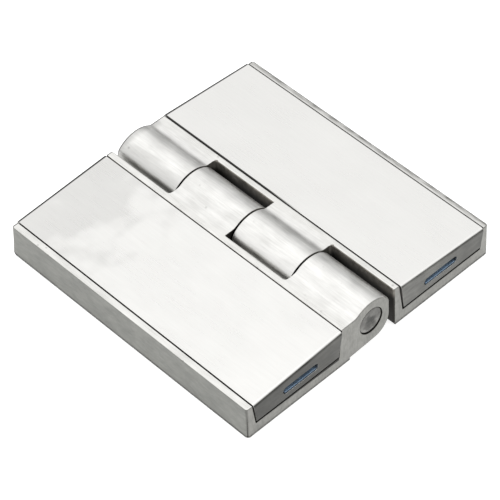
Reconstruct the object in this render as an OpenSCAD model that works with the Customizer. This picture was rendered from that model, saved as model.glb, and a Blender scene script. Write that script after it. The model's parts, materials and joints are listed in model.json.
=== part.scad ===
// Heavy-duty cast hinge with spring-held covers over its screw channels.
// Millimetres. The pin runs along Y, the mounting faces lie on z = 0, and the leaves lie open and flat.
// Both leaves are one casting: the left one is the right one turned half a turn about Z.

/* [Overall] */
// Length of both leaves along the pin
length = 100; // [90:1:150]
// Distance from the pin's axis to a leaf's outer edge
leaf_w = 50; // [47:1:70]

/* [Knuckles] */
// Height of the pin's axis above the mounting face
axis_h = 10.25; // [9.9:0.05:10.7]
// Height of the knuckles' crown above the axis
crown_up = 7.5; // [7.2:0.05:7.8]
// Radius of the arc over a knuckle's crown
crown_r = 9.1; // [8.7:0.05:9.6]
// Distance from the axis to a knuckle's free side
side_out = 7.65; // [7.4:0.05:8]
// Radius between the crown's arc and the free side
shoulder_r = 3; // [2.5:0.25:4]
// Knuckles that each leaf carries
knuckles_each = 2; // [1:1:4]
// How much longer the hinge's two outer knuckles are than its inner ones
outer_extra = 1.4; // [0:0.1:2]
// Gap between the end faces of two neighbouring knuckles
knuckle_gap = 0.5; // [0.2:0.05:0.8]
// Gap between a knuckle's free side and the other leaf's notch wall
notch_gap = 1.95; // [1.6:0.05:2.2]
// Drop from the knuckle's crown to the flat strip beside it
crown_drop = 2.15; // [1.9:0.05:2.4]
// Radius of the valley between a knuckle and its strip
valley_r = 3.5; // [3:0.25:5]
// How far the foot under a knuckle's web reaches past the notch wall
foot_step = 0.7; // [0.4:0.1:0.9]
// Height of the web's underside above the mounting face, at its foot
web_lift = 1.2; // [0.9:0.1:1.5]
// How much higher the underside is at the knuckle's free side
chin_rise = 1.1; // [0.8:0.1:1.8]
// Radius between the underside and the knuckle's free side
chin_r = 6.3; // [5:0.1:6.6]

/* [Pin] */
// Radius of the pin
pin_r = 4.6; // [4:0.1:5]
// Radial running clearance of the pin in the right leaf
pin_clearance = 0.05; // [0.02:0.01:0.1]
// Depth of the pin's ends behind the leaves' end faces, at the axis
pin_recess = 0.2; // [0.2:0.05:1]
// Chamfer at the pin's ends
pin_chamfer = 0.4; // [0.2:0.1:0.8]
// Depth of the shallow dish turned in the pin's ends
pin_dish = 0.3; // [0.1:0.05:0.6]

/* [Leaf casting] */
// Thickness of the channel's floor
floor_t = 4.8; // [4.4:0.1:5.2]
// Height of the outer wall
rim_h = 12.7; // [12.3:0.1:13.5]
// Thickness of the outer wall at its top
rim_t = 2.25; // [1.8:0.05:3]
// Width of the strip between the notch wall and the channel, at its top
strip_w = 2.3; // [2:0.1:3.5]
// Draft angle of the channel's walls
draft = 7.5; // [3:0.5:9]
// Draft angle of the leaves' end faces
end_draft = 2.6; // [1.5:0.1:3.2]
// Radius of the leaves' outer corners, seen from above
corner_r = 0.9; // [0.4:0.1:2]
// Radius along the bottom edges
foot_r = 1; // [0.6:0.1:1.3]
// Radius along the bottom edge of the notch wall
notch_foot_r = 2; // [1.5:0.1:2.5]

/* [Mounting holes] */
// Distance between the two rows of holes, across the leaf
hole_pitch_x = 16; // [14:0.5:18]
// Distance between the holes of a row, along the pin
hole_pitch_y = 60; // [40:1:64]
// Radius of the holes
hole_r = 3.3; // [2.7:0.1:3.5]
// Radius of the countersinks at the channel's floor
sink_r = 6.2; // [5:0.1:6.5]

/* [Cover] */
// Wall thickness of the covers
cover_wall = 1.6; // [1.2:0.1:1.8]
// Gap between a cover and the channel's side walls
cover_gap = 0.3; // [0.15:0.05:0.5]
// Depth of the cover's inner edge below the strip
cover_sink = 0.2; // [0.1:0.05:0.5]
// Height of the cover's outer edge above the outer wall
cover_rise = 0.35; // [0:0.05:0.6]
// Distance from the leaves' bottom end edges in to the cover's end faces
cover_inset = 0.05; // [0:0.05:0.3]
// Gap under the cover's end walls
end_gap = 0.9; // [0.4:0.05:1.2]
// Radius along the top edges at the cover's ends
cover_edge_r = 1.1; // [0.5:0.1:1.4]

/* [Release slots] */
// Length of the slots
slot_l = 14; // [10:0.5:18]
// Height of the slots
slot_h = 2.7; // [2.3:0.1:2.8]
// Height of the slots' lower edge above the channel's floor
slot_up = 3.05; // [2.6:0.05:3.3]
// How far the slots lie from the cover's middle, towards the pin
slot_shift = 1; // [0:0.1:3]

/* [Spring clips] */
// Thickness of the spring steel
clip_t = 0.5; // [0.4:0.05:0.6]
// Inside radius of the bends
bend_r = 0.4; // [0.3:0.05:0.6]
// How far a clip reaches past the slot's ends, on each side
clip_margin = 2; // [1.5:0.25:3]
// Gap between the release tongue and the slot's ends and lower face
tongue_gap = 0.3; // [0.15:0.05:0.4]
// Depth of the tongue's tip behind the cover's end face
tongue_recess = 0.25; // [0.1:0.05:0.6]
// Gap between the clip's hook and the catch on the leaf
catch_gap = 0.2; // [0.1:0.05:0.3]
// Depth that the hook reaches under the catch
hook_reach = 0.8; // [0.5:0.1:1]
// Thickness of the catch's stem
stem_t = 1.2; // [1:0.1:1.5]
// Gap between the catch and the cover's end wall
catch_clear = 0.4; // [0.3:0.05:0.8]
// Free length of the clip between its bend and the screw bosses
spring_l = 4.5; // [3.5:0.5:7]

/* [Clip screws] */
// Radius of the screw's shank
screw_r = 1.2; // [1:0.05:1.3]
// Radius of the screw's head
head_r = 2.3; // [2:0.1:2.6]
// Height of the screw's head
head_h = 1.4; // [1:0.1:1.6]
// Width of the chamfer round the screw's head
head_chamfer = 0.45; // [0.2:0.05:0.6]
// Width of the driver slot in the screw's head
driver_w = 0.6; // [0.5:0.1:0.8]
// Distance from a clip's sides to its screws
screw_inset = 3.5; // [2.9:0.1:4]
// Depth of the thread in the cover, above the clip
thread_depth = 1.7; // [1.4:0.1:1.8]
// Radius of the bosses under the cover
boss_r = 2.9; // [2.5:0.1:3.2]

/* [Hidden] */
$fn = 72;
// Roundness of the clip screws, their holes and bosses
small_fn = 24;

SIDES = ["left", "right"];
ENDS = ["front", "back"];
cast_colour = "#c6c5c1";
cover_colour = "#dcdbd6";
pin_colour = "#74756f";
spring_colour = "#46586e";
screw_colour = "#b4b4af";

// A small overlap that joins solids and lets cuts run clear of a face
eps = 0.5;
arc_steps = 6;

// Knuckles and strip
notch_x = side_out + notch_gap;
strip_h = axis_h + crown_up - crown_drop;
pitch = (length - 2 * outer_extra) / (2 * knuckles_each);
foot_x = notch_x - foot_step;

// Centres of the arcs of a knuckle's section: crown, free shoulder, and the valley that meets the strip
crown_c = [0, axis_h + crown_up - crown_r];
shoulder_x = side_out - shoulder_r;
shoulder_c = crown_c + [-shoulder_x, sqrt(pow(crown_r - shoulder_r, 2) - pow(shoulder_x, 2))];
valley_up = strip_h + valley_r - crown_c[1];
valley_c = crown_c + [sqrt(pow(crown_r + valley_r, 2) - pow(valley_up, 2)), valley_up];
function bearing(v) = atan2(v[1], v[0]);
crown_from = bearing(valley_c - crown_c);
crown_to = bearing(shoulder_c - crown_c);

// Channel
slope = tan(draft);
end_slope = tan(end_draft);
channel_in_top = notch_x + strip_w;
channel_in = channel_in_top + (strip_h - floor_t) * slope;
channel_out_top = leaf_w - rim_t;
channel_out = channel_out_top - (rim_h - floor_t) * slope;
channel_mid = (channel_in + channel_out) / 2;

// Cover: its sides run parallel to the channel's walls, and its top is one sloping plane
cover_in_z = strip_h - cover_sink;
cover_in_x = channel_in_top + cover_gap + cover_sink * slope;
cover_out_x = channel_out_top - cover_gap;
cover_out_z = rim_h + cover_rise;
cover_half = length / 2 - cover_inset;
tilt = atan((cover_in_z - cover_out_z) / (cover_out_x - cover_in_x));
function cover_top(x) = cover_in_z - (x - cover_in_x) * tan(tilt);

// Release slot, spring clip and catch. u is the distance inwards from the leaf's end face.
slot_x = channel_mid - slot_shift;
slot_low = floor_t + slot_up;
slot_top = slot_low + slot_h;
wall_u = cover_inset + cover_wall;
catch_u = wall_u + catch_clear;
catch_stem_u = catch_u + stem_t;
catch_head_u = catch_stem_u + hook_reach + catch_gap;
clip_u = catch_head_u + catch_gap;
hook_u = catch_stem_u + catch_gap;
hook_z = floor_t + catch_gap;
catch_under = hook_z + clip_t + catch_gap;
tongue_z = slot_low + tongue_gap;
catch_top = tongue_z - 2 * catch_gap;
plate_low = slot_top + catch_gap;
plate_top = plate_low + clip_t;
slot_r = slot_h / 2;
tongue_chord = sqrt(pow(slot_r, 2) - pow(slot_r - tongue_gap, 2));
tongue_w = slot_l - slot_h + 2 * (tongue_chord - tongue_gap);
window_w = tongue_w + 2 * tongue_gap;
clip_w = slot_l + 2 * clip_margin;
catch_w = clip_w + 2 * catch_clear;
screw_pitch = clip_w - 2 * screw_inset;
screw_u = clip_u + clip_t + spring_l + boss_r;
clip_end_u = screw_u + boss_r;
window_u = clip_u + clip_t + 2 * bend_r;

// Points on an arc about c, from angle a to angle b
function arc(c, r, a, b, n = arc_steps) =
    [for (i = [0:n]) let (t = a + (b - a) * i / n) c + r * [cos(t), sin(t)]];

function unit(v) = v / norm(v);

// The points that round corner b between its neighbours a and c
function round_corner(a, b, c, r, n) =
    let (
        p = unit(a - b),
        q = unit(c - b),
        half = acos(p * q) / 2,
        m = b + unit(p + q) * r / sin(half),
        s = b + p * r / tan(half) - m,
        e = b + q * r / tan(half) - m,
        turn = 180 - 2 * half
    )
    [for (i = [0:n]) m + (s * sin(turn * (1 - i / n)) + e * sin(turn * i / n)) / sin(turn)];

// An outline from corners given as [x, y, radius]
function outline(corners, n = arc_steps) =
    let (k = len(corners))
    [for (i = [0:k - 1])
        let (
            a = corners[(i + k - 1) % k],
            b = corners[i],
            c = corners[(i + 1) % k]
        )
        each b[2] > 0
            ? round_corner([a[0], a[1]], [b[0], b[1]], [c[0], c[1]], b[2], n)
            : [[b[0], b[1]]]];

// Extrudes an XZ outline along Y
module along_y(from, to) {
    translate([0, to, 0]) rotate([90, 0, 0]) linear_extrude(to - from) children();
}

// Extrudes a YZ outline along X
module along_x(from, to) {
    translate([from, 0, 0]) rotate([90, 0, 90]) linear_extrude(to - from) children();
}

// Puts a child drawn at the right leaf in the place of the named side
module on_side(side) {
    rotate([0, 0, side == "left" ? 180 : 0]) children();
}

// Puts a child drawn with Y as u, and X from the slot's middle, at one end of the right leaf
module at_end(back) {
    translate([slot_x, 0, 0]) rotate([0, 0, back ? 180 : 0]) translate([0, -length / 2, 0]) children();
}

// Front and back are seen in the whole hinge, so the left side's ends swap in the turned casting
function end_turned(side, end) = (side == "left") != (end == "back");

// Front and back end of the right leaf's knuckle number i, counted from the back
function knuckle_line(i) = length / 2 - outer_extra - i * pitch;
function knuckle_from(i) = knuckle_line(2 * i + 1) + knuckle_gap / 2;
function knuckle_to(i) = i == 0 ? length / 2 + eps : knuckle_line(2 * i) - knuckle_gap / 2;

// Section of the leaf's plate: floor, drafted outer wall and strip
module plate_section() {
    polygon(outline([
        [notch_x, 0, notch_foot_r],
        [leaf_w, 0, foot_r],
        [leaf_w, rim_h, 0],
        [channel_out_top, rim_h, 0],
        [channel_out, floor_t, 0],
        [channel_in, floor_t, 0],
        [channel_in_top, strip_h, 0],
        [notch_x, strip_h, 0]
    ]));
}

// Section of a knuckle with its web: valley, crown, free side, underside and foot
module knuckle_section() {
    free_side = [-side_out, axis_h];
    free_corner = [-side_out, web_lift + chin_rise];
    foot_top = [foot_x, web_lift];
    polygon(concat(
        [[notch_x + strip_w / 2, strip_h]],
        arc(valley_c, valley_r, 270, 180 + crown_from),
        arc(crown_c, crown_r, crown_from, crown_to, 3 * arc_steps),
        arc(shoulder_c, shoulder_r, crown_to, 180),
        round_corner(free_side, free_corner, foot_top, chin_r, 2 * arc_steps),
        [foot_top],
        arc([foot_x + foot_step / 2, foot_step / 2], foot_step / 2, 180, 270),
        [[notch_x + notch_foot_r, 0]]
    ));
}

// What is cut off at the front end: the drafted end face with the rounding of its foot
module end_cut() {
    high = 2 * axis_h;
    foot = [-length / 2, 0];
    top = [-length / 2 + high * end_slope, high];
    along_x(-leaf_w, leaf_w + eps) polygon(concat(
        [[-length / 2 - eps, high], top],
        round_corner(top, foot, [0, 0], foot_r, arc_steps),
        [[-length / 2 + foot_r, -eps], [-length / 2 - eps, -eps]]
    ));
}

// What is cut off at the front outer corner, along the drafted end face
module corner_cut() {
    low = -2 * corner_r;
    corner = [leaf_w, 0];
    translate([0, -length / 2, 0]) rotate([-end_draft, 0, 0]) translate([0, 0, low])
        linear_extrude(strip_h - 2 * low) polygon(concat(
            [corner + [eps, -eps], [leaf_w - corner_r, -eps]],
            round_corner([0, 0], corner, [leaf_w, length], corner_r, arc_steps),
            [[leaf_w + eps, corner_r]]
        ));
}

// The catch that a clip's hook snaps under
module catch() {
    lead = hook_reach / 2;
    along_x(-catch_w / 2, catch_w / 2) polygon([
        [catch_u, floor_t - eps],
        [catch_stem_u, floor_t - eps],
        [catch_stem_u, catch_under],
        [catch_head_u, catch_under],
        [catch_head_u, catch_top - lead],
        [catch_head_u - lead, catch_top],
        [catch_u, catch_top]
    ]);
}

module countersunk_hole() {
    translate([0, 0, -eps]) cylinder(h = floor_t + 2 * eps, r = hole_r);
    translate([0, 0, floor_t - (sink_r - hole_r)]) cylinder(h = sink_r - hole_r, r1 = hole_r, r2 = sink_r);
    translate([0, 0, floor_t]) cylinder(h = eps, r = sink_r);
}

// A knuckle's bore for the pin
module bore(from, to, r) {
    translate([0, to, axis_h]) rotate([90, 0, 0]) cylinder(h = to - from, r = r);
}

// One leaf in the right leaf's place
module leaf(bore_r) {
    difference() {
        union() {
            along_y(-length / 2 - eps, length / 2 + eps) plate_section();
            for (i = [0:knuckles_each - 1]) along_y(knuckle_from(i), knuckle_to(i)) knuckle_section();
            for (back = [false, true]) at_end(back) catch();
        }
        for (i = [0:knuckles_each - 1]) bore(knuckle_from(i) - eps, knuckle_to(i) + eps, bore_r);
        for (sx = [-1, 1], sy = [-1, 1]) {
            translate([channel_mid + sx * hole_pitch_x / 2, sy * hole_pitch_y / 2, 0]) countersunk_hole();
        }
        for (back = [false, true]) mirror([0, back ? 1 : 0, 0]) {
            end_cut();
            corner_cut();
        }
    }
}

module left_leaf() {
    color(cast_colour) on_side("left") leaf(pin_r);
}

module right_leaf() {
    color(cast_colour) leaf(pin_r + pin_clearance);
}

module hinge_pin() {
    half = length / 2 - axis_h * end_slope - pin_recess;
    dish_r = pin_r - 2 * pin_chamfer;
    color(pin_colour) translate([0, 0, axis_h]) rotate([90, 0, 0]) rotate_extrude() polygon([
        [0, -half + pin_dish],
        [dish_r, -half],
        [pin_r - pin_chamfer, -half],
        [pin_r, -half + pin_chamfer],
        [pin_r, half - pin_chamfer],
        [pin_r - pin_chamfer, half],
        [dish_r, half],
        [0, half - pin_dish]
    ]);
}

// Everything between the cover's two drafted sides, moved in by a wall
module between_sides(wall, low) {
    high = strip_h + eps;
    along_y(-length / 2 - eps, length / 2 + eps) polygon([
        [channel_in + cover_gap + wall - (low - floor_t) * slope, low],
        [channel_out - cover_gap - wall + (low - floor_t) * slope, low],
        [channel_out - cover_gap - wall + (high - floor_t) * slope, high],
        [channel_in + cover_gap + wall - (high - floor_t) * slope, high]
    ]);
}

// Everything below the cover's sloping top, moved down by a wall, with its end edges rounded
module below_top(wall, edge_r) {
    half = cover_half - wall;
    translate([cover_in_x, 0, cover_in_z]) rotate([0, tilt, 0])
        along_x(-strip_h, leaf_w) polygon(outline([
            [-half, -2 * strip_h, 0],
            [half, -2 * strip_h, 0],
            [half, -wall, edge_r],
            [-half, -wall, edge_r]
        ]));
}

// The stadium-shaped slot, cut through an end wall
module release_slot() {
    flat = slot_l / 2 - slot_r;
    z = slot_low + slot_r;
    along_y(-eps, wall_u + eps) polygon(concat(
        arc([flat, z], slot_r, -90, 90, 2 * arc_steps),
        arc([-flat, z], slot_r, 90, 270, 2 * arc_steps)
    ));
}

module cover() {
    difference() {
        union() {
            difference() {
                intersection() {
                    between_sides(0, floor_t);
                    below_top(0, cover_edge_r);
                }
                intersection() {
                    between_sides(cover_wall, floor_t - eps);
                    below_top(cover_wall, 0);
                }
            }
            for (back = [false, true], sx = [-1, 1]) {
                x = slot_x + sx * screw_pitch / 2;
                high = cover_top(x + boss_r) - cover_wall / 2;
                at_end(back) translate([(back ? -1 : 1) * (x - slot_x), screw_u, plate_top])
                    cylinder(h = high - plate_top, r = boss_r, $fn = small_fn);
            }
        }
        for (back = [false, true]) at_end(back) {
            release_slot();
            translate([-leaf_w, -eps, floor_t - eps]) cube([2 * leaf_w, wall_u + eps, end_gap + eps]);
            for (sx = [-1, 1]) {
                translate([sx * screw_pitch / 2, screw_u, plate_top - eps])
                    cylinder(h = thread_depth + eps, r = screw_r, $fn = small_fn);
            }
        }
    }
}

module left_cover() {
    color(cover_colour) on_side("left") cover();
}

module right_cover() {
    color(cover_colour) cover();
}

// The bent strip: plate under the bosses, leg, and hook under the catch
module clip_strip() {
    along_x(-clip_w / 2, clip_w / 2) polygon(outline([
        [clip_end_u, plate_top, 0],
        [clip_u, plate_top, bend_r + clip_t],
        [clip_u, hook_z + clip_t, 0],
        [hook_u, hook_z + clip_t, 0],
        [hook_u, hook_z, 0],
        [clip_u + clip_t, hook_z, bend_r + clip_t],
        [clip_u + clip_t, plate_low, bend_r],
        [clip_end_u, plate_low, 0]
    ]));
}

// The release tongue, lanced out of the leg and bent outwards into the slot
module tongue() {
    root = tongue_z - bend_r;
    tongue_tip = cover_inset + tongue_recess;
    along_x(-tongue_w / 2, tongue_w / 2) polygon(outline([
        [clip_u + clip_t, root - eps, 0],
        [clip_u + clip_t, tongue_z + clip_t, bend_r + clip_t],
        [tongue_tip, tongue_z + clip_t, 0],
        [tongue_tip, tongue_z, 0],
        [clip_u, tongue_z, bend_r],
        [clip_u, root - eps, 0]
    ]));
}

module clip() {
    difference() {
        clip_strip();
        translate([-window_w / 2, clip_u - eps, tongue_z])
            cube([window_w, window_u - clip_u + eps, plate_top - tongue_z + eps]);
        for (sx = [-1, 1]) {
            translate([sx * screw_pitch / 2, screw_u, plate_low - eps])
                cylinder(h = clip_t + 2 * eps, r = screw_r + tongue_gap, $fn = small_fn);
        }
    }
    tongue();
}

module clip_at(side, end) {
    color(spring_colour) on_side(side) at_end(end_turned(side, end)) clip();
}

// A slotted screw that holds a clip against its boss, with its head down
module screw() {
    $fn = small_fn;
    tip = plate_top + thread_depth - tongue_gap;
    difference() {
        union() {
            translate([0, 0, plate_low]) cylinder(h = tip - plate_low, r = screw_r);
            translate([0, 0, plate_low - head_h / 2]) cylinder(h = head_h / 2, r = head_r);
            translate([0, 0, plate_low - head_h])
                cylinder(h = head_h / 2, r1 = head_r - head_chamfer, r2 = head_r);
        }
        translate([-head_r - eps, -driver_w / 2, plate_low - head_h - eps])
            cube([2 * (head_r + eps), driver_w, head_h / 2 + eps]);
    }
}

module screw_at(side, end, number) {
    turned = end_turned(side, end);
    color(screw_colour) on_side(side) at_end(turned)
        translate([(number == 1 ? -1 : 1) * screw_pitch / 2, screw_u, 0]) screw();
}

left_leaf();
right_leaf();
hinge_pin();
left_cover();
right_cover();
for (side = SIDES, end = ENDS) {
    clip_name = str(side, "_", end, "_clip");
    clip_at(side, end);
    for (number = [1, 2]) {
        screw_at(side, end, number);
    }
}
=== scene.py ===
"""Looks of the heavy-duty hinge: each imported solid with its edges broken, in brushed, ground and cast steel,
on a pale lit table under a soft studio sky, seen from the photograph's angle."""

import json
import math

import bmesh
import bpy
from mathutils import Matrix, Vector


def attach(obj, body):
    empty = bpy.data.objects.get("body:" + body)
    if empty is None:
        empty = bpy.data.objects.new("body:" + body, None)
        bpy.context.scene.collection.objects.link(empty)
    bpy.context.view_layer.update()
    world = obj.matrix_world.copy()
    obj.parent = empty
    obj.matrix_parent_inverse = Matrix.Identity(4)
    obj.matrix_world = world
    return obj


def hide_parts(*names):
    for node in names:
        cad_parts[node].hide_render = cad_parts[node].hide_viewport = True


MM = 0.001

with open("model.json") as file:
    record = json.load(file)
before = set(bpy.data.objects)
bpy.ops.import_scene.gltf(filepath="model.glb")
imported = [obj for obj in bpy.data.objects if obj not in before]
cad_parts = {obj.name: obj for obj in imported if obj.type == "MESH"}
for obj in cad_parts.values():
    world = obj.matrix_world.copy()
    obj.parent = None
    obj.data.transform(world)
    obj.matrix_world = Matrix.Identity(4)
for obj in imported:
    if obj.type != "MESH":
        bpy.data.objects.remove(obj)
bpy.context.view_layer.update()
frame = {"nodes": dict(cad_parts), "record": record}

# The pin's axis above the mounting faces, half the hinge's length, and the draft of the leaves' end faces
AXIS_H = frame["record"]["behaviour"]["joints"][0]["pos_m"][2]
HALF_LENGTH = 50 * MM
END_SLOPE = math.tan(math.radians(2.6))


# The photograph's camera, fitted to the hinge's corners
CAMERA_AT = Vector((-0.377583, -0.389665, 0.598069))
CAMERA_LOOK = Vector((0.46838, 0.483397, -0.739559)).normalized()
CAMERA_RIGHT = Vector((0.712221, -0.701913, -0.007724)).normalized()
FOCAL_PIXELS = 2706.5
FRAME_PIXELS = 500
SENSOR_MM = 36
NEAREST = 0.01
FARTHEST = 20


def add_camera():
    data = bpy.data.cameras.new("photo_camera")
    data.sensor_width = SENSOR_MM
    data.lens = FOCAL_PIXELS / FRAME_PIXELS * SENSOR_MM
    data.clip_start = NEAREST
    data.clip_end = FARTHEST
    camera = bpy.data.objects.new("photo_camera", data)
    up = CAMERA_RIGHT.cross(CAMERA_LOOK).normalized()
    axes = Matrix((CAMERA_RIGHT, up, -CAMERA_LOOK)).transposed().to_4x4()
    camera.matrix_world = Matrix.Translation(CAMERA_AT) @ axes
    bpy.context.scene.collection.objects.link(camera)
    bpy.context.scene.camera = camera


class Graph:
    """Adds nodes to a tree, with their inputs given as values or as other nodes' outputs."""

    def __init__(self, tree):
        self.tree = tree

    def add(self, kind, inputs=None, **settings):
        made = self.tree.nodes.new("ShaderNode" + kind)
        for key, value in settings.items():
            setattr(made, key, value)
        for key, value in (inputs or {}).items():
            if isinstance(value, bpy.types.NodeSocket):
                self.tree.links.new(value, made.inputs[key])
            else:
                made.inputs[key].default_value = value
        return made

    def mm(self):
        """The object's own coordinates in millimetres."""
        place = self.add("TexCoord").outputs["Object"]
        return self.add("VectorMath", {0: place, "Scale": 1 / MM}, operation="SCALE").outputs[0]

    def apart(self, vector):
        """A vector's X, Y and Z parts."""
        return self.add("SeparateXYZ", {0: vector}).outputs

    def facing(self):
        """The object's own normal, as its X, Y and Z parts."""
        return self.apart(self.add("TexCoord").outputs["Normal"])

    def noise(self, at, lengths, detail=3.0, roughness=0.55):
        """Noise whose blotches have these lengths in millimetres along X, Y and Z."""
        scaled = self.add("Mapping", {"Vector": at, "Scale": [1 / s for s in lengths]}).outputs[0]
        inputs = {"Vector": scaled, "Scale": 1.0, "Detail": detail, "Roughness": roughness}
        return self.add("TexNoise", inputs).outputs["Fac"]

    def spread(self, value, low, high, to_low=0.0, to_high=1.0, smooth=False):
        """Goes from to_low to to_high while the value goes from low to high, and stays there beyond."""
        made = self.add(
            "MapRange",
            {"Value": value, "From Min": low, "From Max": high, "To Min": to_low, "To Max": to_high},
            interpolation_type="SMOOTHSTEP" if smooth else "LINEAR",
        )
        return made.outputs[0]

    def rise(self, value, start, full, share=1.0, smooth=False):
        """A mask that is nothing up to the start and has its share from there on, where it is full."""
        return self.spread(value, start, full, 0.0, share, smooth)

    def math(self, operation, a, b=0.0):
        return self.add("Math", {0: a, 1: b}, operation=operation).outputs[0]

    def size(self, value):
        """The value without its sign."""
        return self.math("ABSOLUTE", value)

    def total(self, a, b):
        return self.math("ADD", a, b)

    def both(self, first, *others):
        """The product of several masks or numbers."""
        for other in others:
            first = self.math("MULTIPLY", first, other)
        return first

    def most(self, first, *others):
        """The largest of several masks."""
        for other in others:
            first = self.math("MAXIMUM", first, other)
        return first

    def mix(self, share, a, b):
        """A colour between a and b."""
        return self.add("Mix", {0: share, 6: a, 7: b}, data_type="RGBA").outputs[2]

    def blend(self, share, a, b):
        """A number between a and b."""
        return self.add("Mix", {0: share, 2: a, 3: b}, data_type="FLOAT").outputs[0]

    def ramp(self, place, stops):
        """A ramp of greys, given as pairs of a position from 0 to 1 and a grey."""
        made = self.add("ValToRGB", {"Fac": place})
        elements = made.color_ramp.elements
        while len(elements) < len(stops):
            elements.new(0.5)
        for element, (position, grey) in zip(elements, stops):
            element.position = position
            element.color = (grey, grey, grey, 1)
        return made

    def bump(self, height, depth, normal=None):
        inputs = {"Height": height, "Distance": depth, "Strength": 1.0}
        if normal is not None:
            inputs["Normal"] = normal
        return self.add("Bump", inputs).outputs[0]


class Spot(Graph):
    """A material's tree with the shaded point in it: its place in millimetres and the parts of its normal."""

    def __init__(self, tree):
        super().__init__(tree)
        self.at = self.mm()
        self.x, self.y, self.z = self.apart(self.at)
        self.nx, self.ny, self.nz = self.facing()

    def reach(self):
        """How far along Y the point lies from the middle, with the draft of the end faces taken off."""
        return self.total(self.y, self.both(self.z, END_SLOPE))

    def front_reach(self):
        """The same towards the front."""
        return self.math("SUBTRACT", self.both(self.z, END_SLOPE), self.y)


def new_material(name, graph=Spot):
    material = bpy.data.materials.new(name)
    material.use_nodes = True
    material.node_tree.nodes.clear()
    return material, graph(material.node_tree)


# Nearly all values of a noise lie between these two
NOISE = (0.3, 0.7)


# The finishes of steel: the colours of their light and dark streaks, the roughness, the grain's lengths along
# X, Y and Z and the relief's depth in millimetres, and where they aren't the usual ones, the clouds' size in
# millimetres and how much the roughness changes with them
# The leaf_end, leaf_side and cover_end colours are far darker than the tops': partly their ground and blasted
# finish, partly painted shade of faces turned from the sky
FINISHES = {
    "strip": {
        "light": (0.68, 0.675, 0.655), "dark": (0.49, 0.486, 0.469), "rough": 0.29,
        "grain": (0.5, 7.0, 0.5), "depth": 0.005, "cloud": 4.0,
    },
    "barrel": {
        "light": (0.75, 0.746, 0.728), "dark": (0.52, 0.516, 0.5), "rough": 0.42,
        "grain": (0.5, 7.0, 0.5), "depth": 0.008, "cloud": 4.5,
    },
    "leaf_end": {
        "light": (0.33, 0.328, 0.309), "dark": (0.18, 0.179, 0.169), "rough": 0.42,
        "grain": (0.6, 0.9, 1.8), "depth": 0.008, "cloud": 3.5,
    },
    "leaf_side": {
        "light": (0.285, 0.287, 0.268), "dark": (0.155, 0.157, 0.147), "rough": 0.45,
        "grain": (0.9, 2.6, 0.9), "depth": 0.008, "cloud": 5.0,
    },
    "cast_skin": {
        "light": (0.34, 0.32, 0.29), "dark": (0.12, 0.113, 0.1), "rough": 0.6,
        "grain": (0.6, 1.2, 2.4), "depth": 0.03, "cloud": 3.0,
    },
    "casting_under": {
        "light": (0.5, 0.496, 0.475), "dark": (0.38, 0.377, 0.36), "rough": 0.4,
        "grain": (9.0, 0.5, 0.5), "depth": 0.006,
    },
    "cover_top": {
        "light": (0.66, 0.656, 0.64), "dark": (0.6, 0.596, 0.582), "rough": 0.3,
        "grain": (0.5, 12.0, 0.5), "depth": 0.0015, "cloud": 9.0, "cloud_rough": 0.02,
    },
    "cover_end": {
        "light": (0.22, 0.219, 0.206), "dark": (0.08, 0.0795, 0.074), "rough": 0.4,
        "grain": (5.0, 0.8, 1.3), "depth": 0.005, "cloud": 6.0,
    },
    "cover_inside": {
        "light": (0.36, 0.355, 0.34), "dark": (0.22, 0.217, 0.205), "rough": 0.5,
        "grain": (1.5, 6.0, 1.5), "depth": 0.01,
    },
    "pin_end": {
        "light": (0.2, 0.198, 0.188), "dark": (0.07, 0.069, 0.065), "rough": 0.42,
        "grain": (0.7, 0.7, 1.6), "depth": 0.012, "cloud": 2.6,
    },
    "pin_side": {
        "light": (0.5, 0.495, 0.475), "dark": (0.4, 0.396, 0.38), "rough": 0.3,
        "grain": (1.0, 0.3, 1.0), "depth": 0.003,
    },
    "blued_steel": {
        "light": (0.27, 0.38, 0.52), "dark": (0.16, 0.235, 0.33), "rough": 0.5,
        "grain": (5.0, 0.4, 0.4), "depth": 0.004, "cloud": 6.0,
    },
    "screw_head": {
        "light": (0.6, 0.595, 0.57), "dark": (0.45, 0.446, 0.43), "rough": 0.35,
        "grain": (0.5, 0.5, 0.5), "depth": 0.004, "cloud": 2.0,
    },
}
USUAL_CLOUD = 18.0
USUAL_CLOUD_ROUGH = 0.05

# How a finish's three noises are made: streaks, a finer copy of their grain, and clouds
STREAK_DETAIL = {"detail": 4.0, "roughness": 0.6}
FINE_DETAIL = {"detail": 2.0}
CLOUD_DETAIL = {"detail": 2.0, "roughness": 0.45}
FINE_SCALE = 0.35
FINE_SHARE = 0.5
CLOUD_LENGTH = 1.6
STREAK_ROUGH = 0.03
HALF_TONE = (0.0, 0.5)


def finish(g, name):
    """A finish's colour, roughness and relief: streaks of its grain over slow clouds."""
    made_of = FINISHES[name]
    grain = made_of["grain"]
    rough = made_of["rough"]
    cloud = made_of.get("cloud", USUAL_CLOUD)
    cloud_rough = made_of.get("cloud_rough", USUAL_CLOUD_ROUGH)
    streaks = g.noise(g.at, grain, **STREAK_DETAIL)
    fine = g.noise(g.at, [s * FINE_SCALE for s in grain], **FINE_DETAIL)
    clouds = g.noise(g.at, [cloud, cloud * CLOUD_LENGTH, cloud], **CLOUD_DETAIL)
    tone = g.total(g.spread(streaks, *NOISE, *HALF_TONE), g.spread(clouds, *NOISE, *HALF_TONE))
    colour = g.mix(tone, (*made_of["dark"], 1), (*made_of["light"], 1))
    shade = g.spread(clouds, *NOISE, rough - cloud_rough, rough + cloud_rough)
    shade = g.total(shade, g.spread(streaks, *NOISE, -STREAK_ROUGH, STREAK_ROUGH))
    relief = g.both(g.total(streaks, g.both(fine, FINE_SHARE)), made_of["depth"])
    return colour, shade, relief


def over(g, mask, top, under):
    """Puts one finish over another where the mask is 1."""
    colour = g.mix(mask, under[0], top[0])
    shade = g.blend(mask, under[1], top[1])
    relief = g.blend(mask, under[2], top[2])
    return colour, shade, relief


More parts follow.
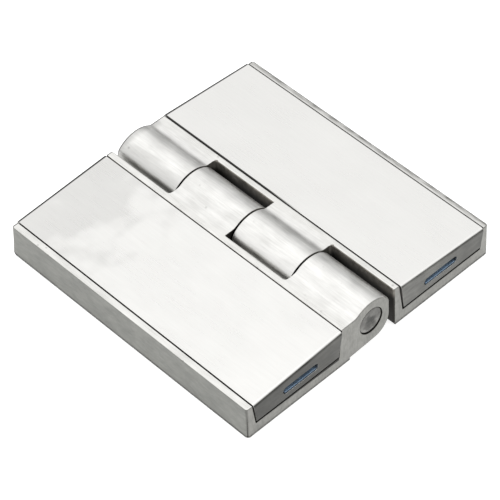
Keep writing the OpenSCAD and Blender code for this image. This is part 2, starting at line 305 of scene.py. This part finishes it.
# Casting pits: the spacing of their cells in millimetres on each surface, how far from a cell's middle a pit
# is deepest and ends, how large the patches with pits are and their noise, and the pits' colour, its share
# and their depth
OUTSIDE_PITS = 2.8
INSIDE_PITS = 1.8
UNDERSIDE_PITS = 4.0
PIT_EDGE = (0.04, 0.2)
PIT_PATCH = 3
PITTED = (0.55, 0.65)
PIT_COLOUR = (0.12, 0.118, 0.11, 1)
PIT_SHARE = 0.35
PIT_DEPTH = 0.03 * MM


def pitted(g, spacing, colour, normal):
    """Small casting pits, some way apart."""
    cells = g.add("TexVoronoi", {"Vector": g.at, "Scale": 1 / spacing, "Randomness": 1.0}).outputs["Distance"]
    pit = g.rise(cells, *PIT_EDGE, smooth=True)
    where = g.rise(g.noise(g.at, [spacing * PIT_PATCH] * 3, detail=1.0), *PITTED)
    pit = g.most(pit, g.math("SUBTRACT", 1.0, where))
    colour = g.mix(g.spread(pit, 0.0, 1.0, PIT_SHARE, 0.0), colour, PIT_COLOUR)
    return colour, g.bump(pit, PIT_DEPTH, normal)


def steel_shader(g, colour, rough, normal):
    inputs = {"Base Color": colour, "Metallic": 1.0, "Roughness": rough, "Normal": normal}
    shader = g.add("BsdfPrincipled", inputs)
    g.add("OutputMaterial", {"Surface": shader.outputs[0]})


def steel(name, pits=0.0):
    """One finish of bare steel all over."""
    material, g = new_material(name)
    colour, shade, relief = finish(g, name)
    normal = g.bump(relief, MM)
    if pits:
        colour, normal = pitted(g, pits, colour, normal)
    steel_shader(g, colour, shade, normal)
    return material


# The colours of painted shade that the masks darken a surface to: an edge turned from the light, a slit or
# gap, and a notch's depth; black also paints a darker reflection on one cover
SHADED = (0.07, 0.069, 0.064, 1)
BLACK = (0.01, 0.01, 0.009, 1)
RECESS_SHADE = (0.02, 0.0195, 0.018, 1)

# Where the masks of the leaves' outer faces start and where they are full, as places in millimetres or parts
# of the unit normal, and after that their share, if it isn't 1
OUTER_FACE = (47.9, 48.1)
BELOW_RIM = (6.0, 4.0)
BARREL = (10.2, 8.2)
END_FACING = (0.35, 0.75)
SIDE_FACING = (0.45, 0.8)
TOP_FACING = (0.4, 0.8)
# From the foot on, masks of painted shade: the foot, corners, back edges, flanks, valleys, barrel tips and
# base, and a painted darker reflection on the far rim
FOOT_FACING = (-0.1, -0.5, 0.75)
CORNER_FACING = (0.25, 0.5, 0.45)
BACK_FACING = (0.1, 0.45, 0.8)
BACK_TOP_FACING = (0.3, 0.5)
BACK_END = (49.35, 49.6, 0.88)
BACK_END_FACING = (0.85, 0.7)
FAR_RIM = (47.8, 49.4, 0.85)
FLANK_FACING = (-0.3, -0.65, 0.2)
FLANK_LENGTH = (18.0, 26.0)
VALLEY_FACING = (0.3, 0.6, 0.22)
VALLEY_NEAR = (3.0, 5.0)
VALLEY_FAR = (10.5, 9.5)
BARREL_TIP = (46.5, 49.4, 0.3)
BASE = (1.75, 1.35)

# The same leaf's knuckles are this far apart in millimetres, and take the second half of each such length
KNUCKLE_PAIR = 50.0
SECOND_HALF = (0.49, 0.51)

# Unevenness of the painted shade along an edge: the lengths of its noise in millimetres, its range and what
# that becomes, and how the painted shadow line along the base follows it
UNEVEN_SHADE_LENGTHS = (0.7, 5.0, 0.7)
UNEVEN_SHADE = (0.35, 0.65, 0.35, 1.0)
BASE_SHADE_UNEVEN = (0.35, 0.8, 0.35, 0.9)

# The painted shade line on the right rim in the gap beside its cover: where it ends and starts, and its share
RIM_LINE_END = (48.15, 48.05)
RIM_LINE_START = (46.75, 46.85)
RIM_LINE_SHARE = 0.92

# The painted shadow in the gap over the channels' sills under the covers' front ends, in millimetres: the
# sills' height, how deep it reaches from left to right on the left leaf and on the right one, its lower edge,
# where it starts towards the front, its two ends and its top, and its share
CHANNEL_FLOOR = 4.8
SILL_SHADE_DEPTH_LEFT = (-46.0, -14.0, 0.12, 0.7)
SILL_SHADE_DEPTH_RIGHT = (5.0, 10.0, 0.7, 0.2)
SILL_SHADE_EDGE = (-0.05, 0.05)
SILL_SHADE_FRONT = (49.6, 49.8)
SILL_SHADE_INNER = (13.2, 13.4)
SILL_SHADE_OUTER = (46.8, 46.6)
SILL_SHADE_TOP = (5.0, 4.9)
SILL_SHADE_SHARE = 0.9


def casting_finishes(g, barrel, outer):
    """The barrels over the strips, the ends over both, and the outer sides over all."""
    look = over(g, barrel, finish(g, "barrel"), finish(g, "strip"))
    look = over(g, g.rise(g.size(g.ny), *END_FACING, smooth=True), finish(g, "leaf_end"), look)
    side = g.both(g.rise(g.size(g.nx), *SIDE_FACING, smooth=True), outer)
    return over(g, side, finish(g, "leaf_side"), look)


def casting_shade(g, barrel, outer):
    """Painted shade where the castings turn from the light or face dark walls, a painted darker reflection
    along the far rim, and a painted shadow line along the base.
    """
    # An uneven noise that breaks up the painted dark lines along the far rim and the base
    uneven = g.spread(g.noise(g.at, UNEVEN_SHADE_LENGTHS, detail=3.0), *UNEVEN_SHADE)
    foot = g.both(g.rise(g.nz, *FOOT_FACING, smooth=True), g.rise(g.z, *BELOW_RIM))
    corner = g.both(g.rise(g.math("MINIMUM", g.size(g.nx), g.size(g.ny)), *CORNER_FACING), outer)
    behind = g.both(g.rise(g.ny, *BACK_FACING, smooth=True), g.rise(g.nz, *BACK_TOP_FACING))
    # far_rim paints a darker reflection on the right rim's outer top; base paints a shadow line along the
    # bottom
    far_rim = g.both(g.rise(g.x, *FAR_RIM, smooth=True), g.rise(g.nz, *TOP_FACING), uneven)
    flank = g.both(g.rise(g.nx, *FLANK_FACING, smooth=True), g.rise(g.size(g.x), *BARREL))
    flank = g.both(flank, g.rise(g.y, *FLANK_LENGTH))
    own_knuckle = g.rise(g.math("FRACT", g.both(g.y, 1 / KNUCKLE_PAIR)), *SECOND_HALF)
    valley = g.both(g.rise(g.nx, *VALLEY_FACING, smooth=True), g.both(g.rise(g.x, *VALLEY_NEAR), own_knuckle))
    valley = g.both(valley, g.rise(g.x, *VALLEY_FAR))
    tip = g.both(g.rise(g.reach(), *BARREL_TIP, smooth=True), barrel)
    base = g.both(g.rise(g.z, *BASE), g.spread(uneven, *BASE_SHADE_UNEVEN))
    return g.most(foot, corner, behind, far_rim, flank, valley, tip, base)


def casting_gap_shade(g):
    """Black painted shade along the castings' gaps: at the back ends, on the right rim and on the sills."""
    back_end = g.both(g.rise(g.reach(), *BACK_END), g.rise(g.ny, *BACK_END_FACING))
    rim_line = g.both(g.rise(g.x, *RIM_LINE_END), g.rise(g.x, *RIM_LINE_START))
    rim_line = g.both(rim_line, RIM_LINE_SHARE, g.rise(g.nz, *TOP_FACING))
    depth_left = g.spread(g.x, *SILL_SHADE_DEPTH_LEFT)
    depth = g.math("MINIMUM", depth_left, g.spread(g.x, *SILL_SHADE_DEPTH_RIGHT))
    above = g.math("SUBTRACT", g.total(g.z, depth), CHANNEL_FLOOR)
    sill_shade = g.both(g.rise(above, *SILL_SHADE_EDGE), g.rise(g.front_reach(), *SILL_SHADE_FRONT))
    sides = g.both(g.rise(g.size(g.x), *SILL_SHADE_INNER), g.rise(g.size(g.x), *SILL_SHADE_OUTER))
    sill_shade = g.both(sill_shade, sides, g.rise(g.z, *SILL_SHADE_TOP), SILL_SHADE_SHARE)
    return g.most(back_end, rim_line, sill_shade)


def casting():
    """The leaves' outer faces: brushed along the pin on top, ground at the ends, blasted at the sides, under
    painted shade.
    """
    material, g = new_material("casting")
    outer = g.rise(g.size(g.x), *OUTER_FACE)
    barrel = g.rise(g.size(g.x), *BARREL, smooth=True)
    colour, shade, relief = casting_finishes(g, barrel, outer)
    # Painted shade over the finishes, then black painted shade along the gaps
    colour = g.mix(casting_shade(g, barrel, outer), colour, SHADED)
    colour = g.mix(casting_gap_shade(g), colour, BLACK)
    colour, normal = pitted(g, OUTSIDE_PITS, colour, g.bump(relief, MM))
    steel_shader(g, colour, shade, normal)
    return material


# The painted reflection on the covers' end faces, how light they are from left to right, as x in millimetres
# and a factor, and how far from the middle that is told
END_REFLECTION_TONES = ((-46, 0.48), (-12, 0.68), (12, 1.06), (46, 0.66))
COVER_SPAN = 48.0

# Masks of the covers' painted shade, as for the leaves
COVER_END_FACING = (0.45, 0.8)
COVER_BACK_FACING = (0.12, 0.45, 0.85)
COVER_BACK_END = (49.3, 49.6, 0.95)
COVER_BACK_TOP = (0.4, 0.6)

# The painted darker reflection on the far part of the left cover: how far its edge wanders in millimetres,
# over what lengths, where it starts and is full along Y with its share at both, and the side of the hinge that
# has it
WANDER = (-16.0, 16.0)
WANDER_LENGTHS = (13.0, 13.0, 13.0)
DARK_REFLECTION = (18.0, 38.0, 0.03, 0.16)
LEFT_SIDE = (-8.0, -12.0)

# The painted shade on the right cover's edge beside its gap towards the knuckles, which thins out along Y
# towards the front
NEAR_EDGE_END = (12.6, 12.52)
NEAR_EDGE_START = (12.0, 12.1)
NEAR_EDGE_LENGTH = (-10.0, 4.0, 0.92)

# Slow waves of the covers' sheet
WAVE_LENGTHS = (26.0, 34.0, 26.0)
WAVE_DEPTH = 0.25 * MM


def cover_end(g):
    """The covers' end finish, with a painted reflection that changes from left to right."""
    colour, shade, relief = finish(g, "cover_end")
    place = g.rise(g.x, -COVER_SPAN, COVER_SPAN)
    stops = [((along + COVER_SPAN) / (2 * COVER_SPAN), tone) for along, tone in END_REFLECTION_TONES]
    # The painted reflection's ramp from left to right
    tone = g.ramp(place, stops).outputs["Color"]
    reflection_toned = g.add("Mix", {0: 1.0, 6: colour, 7: tone}, data_type="RGBA", blend_type="MULTIPLY")
    return reflection_toned.outputs[2], shade, relief


def cover():
    """The covers' outer faces: satin polish on top, brushed across at the ends, under painted shade and
    reflection.
    """
    material, g = new_material("cover")
    end_faces = g.rise(g.size(g.ny), *COVER_END_FACING, smooth=True)
    colour, shade, relief = over(g, end_faces, cover_end(g), finish(g, "cover_top"))
    # Painted shade on the faces turned to the back
    colour = g.mix(g.rise(g.ny, *COVER_BACK_FACING, smooth=True), colour, SHADED)
    wander = g.spread(g.noise(g.at, WANDER_LENGTHS, detail=2.0), *NOISE, *WANDER)
    dark_reflection = g.both(g.spread(g.total(g.y, wander), *DARK_REFLECTION, smooth=True), g.rise(g.x, *LEFT_SIDE))
    back_end = g.both(g.rise(g.reach(), *COVER_BACK_END), g.rise(g.nz, *COVER_BACK_TOP))
    near_edge = g.both(g.rise(g.x, *NEAR_EDGE_END), g.rise(g.x, *NEAR_EDGE_START))
    near_edge = g.both(near_edge, g.rise(g.y, *NEAR_EDGE_LENGTH))
    # Painted black: a darker reflection on the left cover's far part, shade on the back ends' top edges and
    # along the right cover's inner edge
    colour = g.mix(g.most(dark_reflection, back_end, near_edge), colour, BLACK)
    waves = g.noise(g.at, WAVE_LENGTHS, detail=1.0)
    steel_shader(g, colour, shade, g.bump(waves, WAVE_DEPTH, g.bump(relief, MM)))
    return material


# Masks of painted shade in the channels, notches and bores, as for the leaves: the slits under the covers'
# ends, the depth of the notches, and the notches' end walls on the left leaf
SLIT_LENGTH = (47.0, 48.5)
SLIT_WIDTH = (11.0, 12.0)
SLIT_SHARE = 0.95
NOTCH_DEPTH = (14.2, 11.2, 0.93)
NOTCH_WIDTH = (11.0, 10.0)
WALL_FACING = (0.6, 0.8)
WALL_INNER = (-2.0, -4.0)
WALL_OUTER = (-11.0, -10.0)
WALL_SHARE = 0.9


def casting_inside():
    """Channels, notches and bores: rough cast skin, with nearly black painted shade in the slits under the
    covers' ends, low in the notches and on the left leaf's notch end walls."""
    material, g = new_material("casting_inside")
    colour, shade, relief = finish(g, "cast_skin")
    slit = g.both(g.rise(g.size(g.y), *SLIT_LENGTH), g.rise(g.size(g.x), *SLIT_WIDTH), SLIT_SHARE)
    depth = g.both(g.rise(g.z, *NOTCH_DEPTH, smooth=True), g.rise(g.size(g.x), *NOTCH_WIDTH))
    walls = g.both(g.rise(g.size(g.ny), *WALL_FACING), g.rise(g.x, *WALL_INNER))
    walls = g.both(walls, g.rise(g.x, *WALL_OUTER), WALL_SHARE)
    # Painted shade, nearly black, in the slits, deep in the notches and on the notch end walls
    colour = g.mix(g.most(slit, depth, walls), colour, RECESS_SHADE)
    colour, normal = pitted(g, INSIDE_PITS, colour, g.bump(relief, MM))
    steel_shader(g, colour, shade, normal)
    return material


# The pin's ends, by the distance from the axis in millimetres: how far the rings wobble and over what
# lengths, the darker middle, the painted highlight ring and its place below the axis, and the turning marks
PIN_WOBBLE = (-0.9, 0.9)
WOBBLE_LENGTHS = (2.5, 2.5, 2.5)
DARK_MIDDLE = (2.6, 1.0, 0.75)
DARK_MIDDLE_COLOUR = (0.04, 0.04, 0.038, 1)
RING = (2.6, 3.6)
RING_LEVEL = (0.5, -2.5)
RING_SHARE = 0.5
RING_HIGHLIGHT_COLOUR = (0.42, 0.416, 0.4, 1)
MARKS_PER_MM = 14.0
MARK_HEIGHT = 0.004


def pin_end():
    """The pin's dished ends: turning marks, a darker middle and a painted highlight ring on the lower side."""
    material, g = new_material("pin_end")
    colour, shade, relief = finish(g, "pin_end")
    level = g.math("SUBTRACT", g.z, AXIS_H / MM)
    radius = g.math("SQRT", g.total(g.both(g.x, g.x), g.both(level, level)))
    wobble = g.noise(g.at, WOBBLE_LENGTHS, detail=2.0)
    radius = g.total(radius, g.spread(wobble, *NOISE, *PIN_WOBBLE))
    # Darker towards the middle
    colour = g.mix(g.rise(radius, *DARK_MIDDLE, smooth=True), colour, DARK_MIDDLE_COLOUR)
    # The painted highlight ring, on the lower side only
    highlight_ring = g.both(g.rise(radius, *RING, smooth=True), g.rise(level, *RING_LEVEL), RING_SHARE)
    colour = g.mix(highlight_ring, colour, RING_HIGHLIGHT_COLOUR)
    marks = g.math("SINE", g.both(radius, MARKS_PER_MM))
    relief = g.total(relief, g.both(marks, MARK_HEIGHT))
    steel_shader(g, colour, shade, g.bump(relief, MM))
    return material


MATERIALS = {
    "casting": casting(),
    "casting_inside": casting_inside(),
    "casting_under": steel("casting_under", UNDERSIDE_PITS),
    "cover": cover(),
    "cover_inside": steel("cover_inside"),
    "pin_end": pin_end(),
    "pin_side": steel("pin_side"),
    "blued_steel": steel("blued_steel"),
    "screw_head": steel("screw_head"),
}


# How large a part of a unit vector means that it points along an axis, mostly along it, not along it, or
# a little that way
FACING = 0.9
ALONG = 0.8
ACROSS = 0.5
TILTED = 0.3
TURNED = 0.1

# Places on the leaves, with distances from the middle along X, heights and distances from the axis
END_SKIN = 1.2 * MM
UNDERSIDE = 0.3 * MM
NOTCH_WALL = (9.3 * MM, 9.9 * MM)
CHANNEL = (11.8 * MM, 48 * MM)
LEAF_TOP = 12 * MM
BORE_REACH = 5 * MM

# Places on the covers, with distances from their ends and heights
COVER_END_SKIN = 0.3 * MM
COVER_EDGE_SKIN = 1.4 * MM
SLOT_SKIN = 1.7 * MM
SLOT_HEIGHTS = (7.5 * MM, 11 * MM)
COVER_TOP = 12.7 * MM
COVER_SHOULDER = 11 * MM


def leaf_zone(side, centre, normal):
    """The material of a leaf's face."""
    out, facing = centre.x * side, normal.x * side
    if abs(normal.y) > FACING:
        return "casting" if abs(centre.y) > HALF_LENGTH - END_SKIN else "casting_inside"
    if centre.z < UNDERSIDE and normal.z < -FACING:
        return "casting_under"
    # The right leaf's notch wall takes the dark inside finish as painted shade; the same wall on the left leaf
    # takes the bright outer finish
    if facing < -FACING and NOTCH_WALL[0] < out < NOTCH_WALL[1]:
        return "casting_inside" if side > 0 else "casting"
    if CHANNEL[0] < out < CHANNEL[1] and not (normal.z > FACING and centre.z > LEAF_TOP):
        return "casting_inside"
    if math.hypot(centre.x, centre.z - AXIS_H) < BORE_REACH:
        return "casting_inside"
    return "casting"


def cover_zone(side, centre, normal):
    """The material of a cover's face."""
    y, z = abs(centre.y), centre.z
    end = abs(normal.y) > FACING and y > HALF_LENGTH - COVER_END_SKIN
    in_slot = abs(normal.y) < ACROSS and y > HALF_LENGTH - SLOT_SKIN and SLOT_HEIGHTS[0] < z < SLOT_HEIGHTS[1]
    top = normal.z > TILTED and z > COVER_TOP
    edge = abs(normal.y) > TURNED and z > COVER_SHOULDER and y > HALF_LENGTH - COVER_EDGE_SKIN
    return "cover" if end or in_slot or top or edge else "cover_inside"


def pin_zone(side, centre, normal):
    """The material of a pin's face."""
    return "pin_end" if abs(normal.y) > TILTED else "pin_side"


def plain(name):
    """A piece that has one material all over."""
    return lambda side, centre, normal: name


# The width of each broken edge of a leaf: at the notches' corners and those beside the middle gap, the bores'
# mouths, the bottom corners, the sills, the knuckles' ends inside the row and at its ends, the strips beside
# the knuckles, the bottom and the channels' sides, the rims, and all that is left
NOTCH_BREAK = 0.9 * MM
MIDDLE_BREAK = 0.2 * MM
BORE_BREAK = 0.15 * MM
CORNER_BREAK = 0.75 * MM
SILL_BREAK = 0.04 * MM
KNUCKLE_BREAK = 0.18 * MM
ROW_END_BREAK = 0.5 * MM
STRIP_BREAK = 0.5 * MM
FINE_BREAK = 0.1 * MM
RIM_BREAK = 0.38 * MM
PLAIN_BREAK = 0.22 * MM

# Where those edges lie, as distances from the middle and heights
FOOT_TOP = 1.2 * MM
CORNER_FROM = 48.5 * MM
CHANNEL_EDGES = (12 * MM, 47 * MM)
CHANNEL_TOP = 10 * MM
SILL_FROM = 49.6 * MM
KNUCKLE_REACH = 9 * MM
ROW_END_FROM = 48 * MM
NOTCH_REACH = 10 * MM
MIDDLE_GAP = 1 * MM
STRIP_REACH = 12.5 * MM
STRIP_FROM = 14 * MM
LOW_EDGES = 6 * MM
CHANNEL_SIDE = (47 * MM, 48.2 * MM)
RIM_FROM = 8 * MM

# The same for the covers: the top of each end, the sides of the top, and all that is left but the hidden
# inside, with where that lies
COVER_BREAK = 0.4 * MM
COVER_SIDE_BREAK = 0.16 * MM
COVER_LOW_BREAK = 0.08 * MM
HIDDEN_LENGTH = 48 * MM
HIDDEN_TOP = 11.5 * MM
HIDDEN_FROM = 14 * MM
COVER_SIDE_REACH = 47 * MM

# The pieces without broken edges still need a width that isn't nothing
UNUSED_BREAK = 0.05 * MM


def leaf_edges(middle, along):
    """Bore mouths, foot and channel keep narrow edges; the notches' corners are rounded most."""
    x, y, z = abs(middle.x), abs(middle.y), middle.z
    in_channel = CHANNEL_EDGES[0] < x < CHANNEL_EDGES[1] and z < CHANNEL_TOP
    if math.hypot(x, z - AXIS_H) < BORE_REACH:
        return BORE_BREAK
    if z < FOOT_TOP and x > CORNER_FROM and y > CORNER_FROM:
        return CORNER_BREAK
    if z < FOOT_TOP or in_channel and y < SILL_FROM:
        return 0.0
    if in_channel and abs(along.x) > ALONG:
        return SILL_BREAK
    if x < KNUCKLE_REACH and abs(along.y) < ACROSS:
        return KNUCKLE_BREAK if y < ROW_END_FROM else ROW_END_BREAK
    if x < NOTCH_REACH and abs(along.z) > ALONG:
        return NOTCH_BREAK if y > MIDDLE_GAP else MIDDLE_BREAK
    if x < STRIP_REACH and z > STRIP_FROM:
        return STRIP_BREAK
    if z < LOW_EDGES or CHANNEL_SIDE[0] < x < CHANNEL_SIDE[1]:
        return FINE_BREAK
    return RIM_BREAK if z > LEAF_TOP and x > RIM_FROM else PLAIN_BREAK


def cover_edges(middle, along):
    """The covers' inside stays sharp; the top of each end is rounded most."""
    x, y, z = abs(middle.x), abs(middle.y), middle.z
    if y < HIDDEN_LENGTH and z < HIDDEN_TOP and x > HIDDEN_FROM:
        return 0.0
    if z > LEAF_TOP and abs(along.x) > ALONG:
        return COVER_BREAK
    return COVER_SIDE_BREAK if z > COVER_SHOULDER and x < COVER_SIDE_REACH else COVER_LOW_BREAK


def no_edges(middle, along):
    return 0.0


# Points closer than this are one, faces that turn by less than this angle are one, and an edge is broken
# when its faces turn by more than the last
MERGE = 1e-6
FLAT = math.radians(0.5)
SHARP = math.radians(32)

# How many steps a broken edge has, and how much more the large faces count in its shading
BREAK_STEPS = 3
FACE_WEIGHT = 50

# Planes through the pin's axis, which part each face round a bore into faces without a hole
BORE_CUTS = (((0, 0, AXIS_H), (0, 0, 1)), ((0, 0, AXIS_H), (1, 0, 0)))


def edge_width(edge, widths):
    """The width of the broken edge in metres: sharp edges only."""
    if len(edge.link_faces) != 2 or edge.calc_face_angle(0) < SHARP:
        return 0.0
    start, end = (v.co for v in edge.verts)
    return widths((start + end) / 2, (end - start).normalized())


def cleaned(node, cuts):
    """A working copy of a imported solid, in as few faces as its shape allows."""
    work = bmesh.new()
    work.from_mesh(frame["nodes"][node].data)
    bmesh.ops.remove_doubles(work, verts=work.verts, dist=MERGE)
    bmesh.ops.dissolve_limit(work, angle_limit=FLAT, verts=work.verts, edges=work.edges)
    for point, across in cuts:
        parts = work.verts[:] + work.edges[:] + work.faces[:]
        bmesh.ops.bisect_plane(work, geom=parts, dist=MERGE, plane_co=point, plane_no=across)
    work.normal_update()
    return work


def break_edges(piece, widest):
    """Rounds the weighted edges, and shades the large faces flat up to them."""
    bevel = piece.modifiers.new("broken_edges", "BEVEL")
    bevel.limit_method = "WEIGHT"
    bevel.width = widest
    bevel.segments = BREAK_STEPS
    bevel.use_clamp_overlap = False
    bevel.miter_outer = "MITER_ARC"
    weld = piece.modifiers.new("doubles_merged", "WELD")
    weld.merge_threshold = MERGE
    shading = piece.modifiers.new("face_weighted", "WEIGHTED_NORMAL")
    shading.keep_sharp = False
    shading.weight = FACE_WEIGHT


def dressed(node, name, zone, side, widest=UNUSED_BREAK, widths=no_edges, cuts=()):
    """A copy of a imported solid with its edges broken, which stands for the solid."""
    work = cleaned(node, cuts)
    names = []
    for face in work.faces:
        found = zone(side, face.calc_center_median(), face.normal)
        if found not in names:
            names.append(found)
        face.material_index = names.index(found)
        face.smooth = True
    layer = work.edges.layers.float.new("bevel_weight_edge")
    for edge in work.edges:
        edge[layer] = edge_width(edge, widths) / widest
    mesh = bpy.data.meshes.new(name)
    work.to_mesh(mesh)
    work.free()
    for found in names:
        mesh.materials.append(MATERIALS[found])
    piece = bpy.data.objects.new(name, mesh)
    bpy.context.scene.collection.objects.link(piece)
    break_edges(piece, widest)
    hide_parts(node)
    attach(piece, "left_side" if node.startswith("left") or node == "hinge_pin" else "right_side")
    return piece


def add_pieces():
    for side, word in ((-1, "left"), (1, "right")):
        leaf = f"{word}_leaf"
        casts = f"{leaf}_casting"
        dressed(leaf, casts, leaf_zone, side, NOTCH_BREAK, leaf_edges, BORE_CUTS)
        shell = f"{word}_cover"
        dressed(shell, f"{shell}_shell", cover_zone, side, COVER_BREAK, cover_edges)
        for end in ("front", "back"):
            clip = f"{word}_{end}_clip"
            dressed(clip, f"{clip}_spring", plain("blued_steel"), side)
            for number in (1, 2):
                screw = f"{clip}_screw_{number}"
                dressed(screw, f"{screw}_turned", plain("screw_head"), side)
    dressed("hinge_pin", "hinge_pin_turned", pin_zone, -1)


# The table: half its width in metres, how far it lies below the mounting faces, and its paper's fibres,
# colours and glow
TABLE_HALF = 4.0
TABLE_DROP = 0.02 * MM
FIBRE_LENGTHS = (2.0, 2.0, 2.0)
FIBRE_DEPTH = 0.01 * MM
PAPER_DARK = (0.5, 0.5, 0.495, 1)
PAPER_LIGHT = (0.54, 0.54, 0.535, 1)
PAPER_ROUGH = 0.9
WHITE = (1, 1, 1, 1)
PAPER_GLOW = 0.78


def floor_paper():
    """Pale paper that glows a little, so that it comes out white."""
    material, g = new_material("floor_paper", Graph)
    fibres = g.noise(g.mm(), FIBRE_LENGTHS, detail=3.0)
    inputs = {
        "Base Color": g.mix(fibres, PAPER_DARK, PAPER_LIGHT),
        "Roughness": PAPER_ROUGH,
        "Specular IOR Level": 0.0,
        "Normal": g.bump(fibres, FIBRE_DEPTH),
        "Emission Color": WHITE,
        "Emission Strength": PAPER_GLOW,
    }
    shader = g.add("BsdfPrincipled", inputs)
    g.add("OutputMaterial", {"Surface": shader.outputs[0]})
    return material


def add_floor():
    mesh = bpy.data.meshes.new("floor")
    corners = [(x * TABLE_HALF, y * TABLE_HALF, 0) for x, y in ((-1, -1), (1, -1), (1, 1), (-1, 1))]
    mesh.from_pydata(corners, [], [(0, 1, 2, 3)])
    floor = bpy.data.objects.new("floor", mesh)
    floor.location.z = -TABLE_DROP
    bpy.context.scene.collection.objects.link(floor)
    mesh.materials.append(floor_paper())


# The sky's brightness from straight below, at -1, to straight above, at 1
SKY = ((-1.0, 0.1), (0.0, 0.3), (0.26, 0.42), (0.5, 1.1), (0.64, 1.5), (0.74, 1.52), (0.81, 1.5), (1.0, 1.35))


def add_sky():
    world = bpy.data.worlds.new("studio")
    bpy.context.scene.world = world
    world.use_nodes = True
    world.node_tree.nodes.clear()
    g = Graph(world.node_tree)
    height = g.apart(g.add("TexCoord").outputs["Generated"])[2]
    brightest = max(value for _, value in SKY)
    stops = [((z + 1) / 2, value / brightest) for z, value in SKY]
    ramp = g.ramp(g.rise(height, -1.0, 1.0), stops)
    ramp.color_ramp.interpolation = "EASE"
    light = g.add("Background", {"Color": ramp.outputs["Color"], "Strength": brightest})
    g.add("OutputWorld", {"Surface": light.outputs[0]})


# The lamps, which face the hinge: name, place in metres and power in watts, with one size in metres for all
LAMPS = (("overhead_softbox", (0.15, 0.1, 1.4), 1.5), ("low_card", (-1.1, 0.75, 0.45), 1.8))
LAMP_SIZE = 0.9


def add_lamp(name, at, power):
    data = bpy.data.lights.new(name, "AREA")
    data.shape = "RECTANGLE"
    data.size = LAMP_SIZE
    data.size_y = LAMP_SIZE
    data.energy = power
    light = bpy.data.objects.new(name, data)
    light.location = at
    light.rotation_euler = (-Vector(at)).to_track_quat("-Z", "Y").to_euler()
    bpy.context.scene.collection.objects.link(light)


add_camera()
add_floor()
add_sky()
for lamp in LAMPS:
    add_lamp(*lamp)
add_pieces()
bpy.context.scene.view_settings.view_transform = "Standard"
